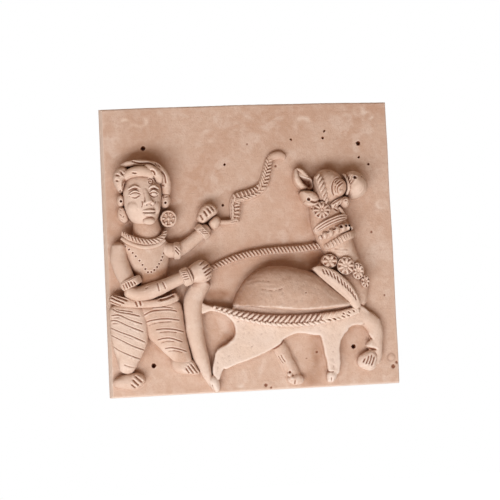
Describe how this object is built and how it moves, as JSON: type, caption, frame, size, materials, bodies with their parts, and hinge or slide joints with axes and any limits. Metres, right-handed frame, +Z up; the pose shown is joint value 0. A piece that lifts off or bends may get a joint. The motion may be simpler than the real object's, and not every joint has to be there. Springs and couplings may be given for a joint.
{
  "type": "terracotta relief plaque",
  "caption": "Square wall plaque of unglazed clay with a hand-modelled relief: a turbaned herder lifts a plaited whip and leads a camel by a rope rein.",
  "frame": {"origin": "centre of the slab's back face, on the plane of the wall", "axes": "+Y into the wall, +Z up, +X to the right for someone who looks at the relief"},
  "size_m": [0.304, 0.0459, 0.3008],
  "materials": {
    "terracotta": "matt unglazed fired clay"
  },
  "bodies": {
    "root": {"backing_slab": "terracotta", "camel_far_hind_leg": "terracotta", "camel_tail": "terracotta", "camel_rump": "terracotta", "camel_flank": "terracotta", "camel_hind_leg": "terracotta", "camel_fore_leg": "terracotta", "camel_raised_leg": "terracotta", "camel_raised_foot": "terracotta", "camel_hump": "terracotta", "camel_chest": "terracotta", "camel_neck": "terracotta", "camel_head": "terracotta", "camel_muzzle": "terracotta", "camel_rear_ear": "terracotta", "camel_front_ear": "terracotta", "camel_chin_pellet": "terracotta", "camel_brow_band": "terracotta", "camel_jaw_strap": "terracotta", "camel_neck_band": "terracotta", "camel_pellet_band": "terracotta", "camel_rein_loop": "terracotta", "rein": "terracotta", "camel_girth_braid": "terracotta", "camel_shoulder_braid": "terracotta", "camel_cheek_rosette": "terracotta", "chest_rosette_1": "terracotta", "chest_rosette_2": "terracotta", "chest_rosette_3": "terracotta", "chest_rosette_4": "terracotta", "dhoti_left_leg": "terracotta", "dhoti_right_leg": "terracotta", "left_foot": "terracotta", "right_foot": "terracotta", "herder_torso": "terracotta", "herder_neck": "terracotta", "herder_head": "terracotta", "left_ear": "terracotta", "right_ear": "terracotta", "left_drop_earring": "terracotta", "right_disc_earring": "terracotta", "turban_bun": "terracotta", "turban_back_roll": "terracotta", "turban_front_roll": "terracotta", "turban_side_roll": "terracotta", "collar_roll": "terracotta", "collar_twist": "terracotta", "waist_sash": "terracotta", "near_upper_arm": "terracotta", "near_forearm": "terracotta", "near_armband": "terracotta", "near_bracelet": "terracotta", "near_fist": "terracotta", "far_arm": "terracotta", "far_armband": "terracotta", "far_bracelet": "terracotta", "far_fist": "terracotta", "far_thumb": "terracotta", "whip_handle": "terracotta", "whip_lash": "terracotta"}
  },
  "joints": []
}
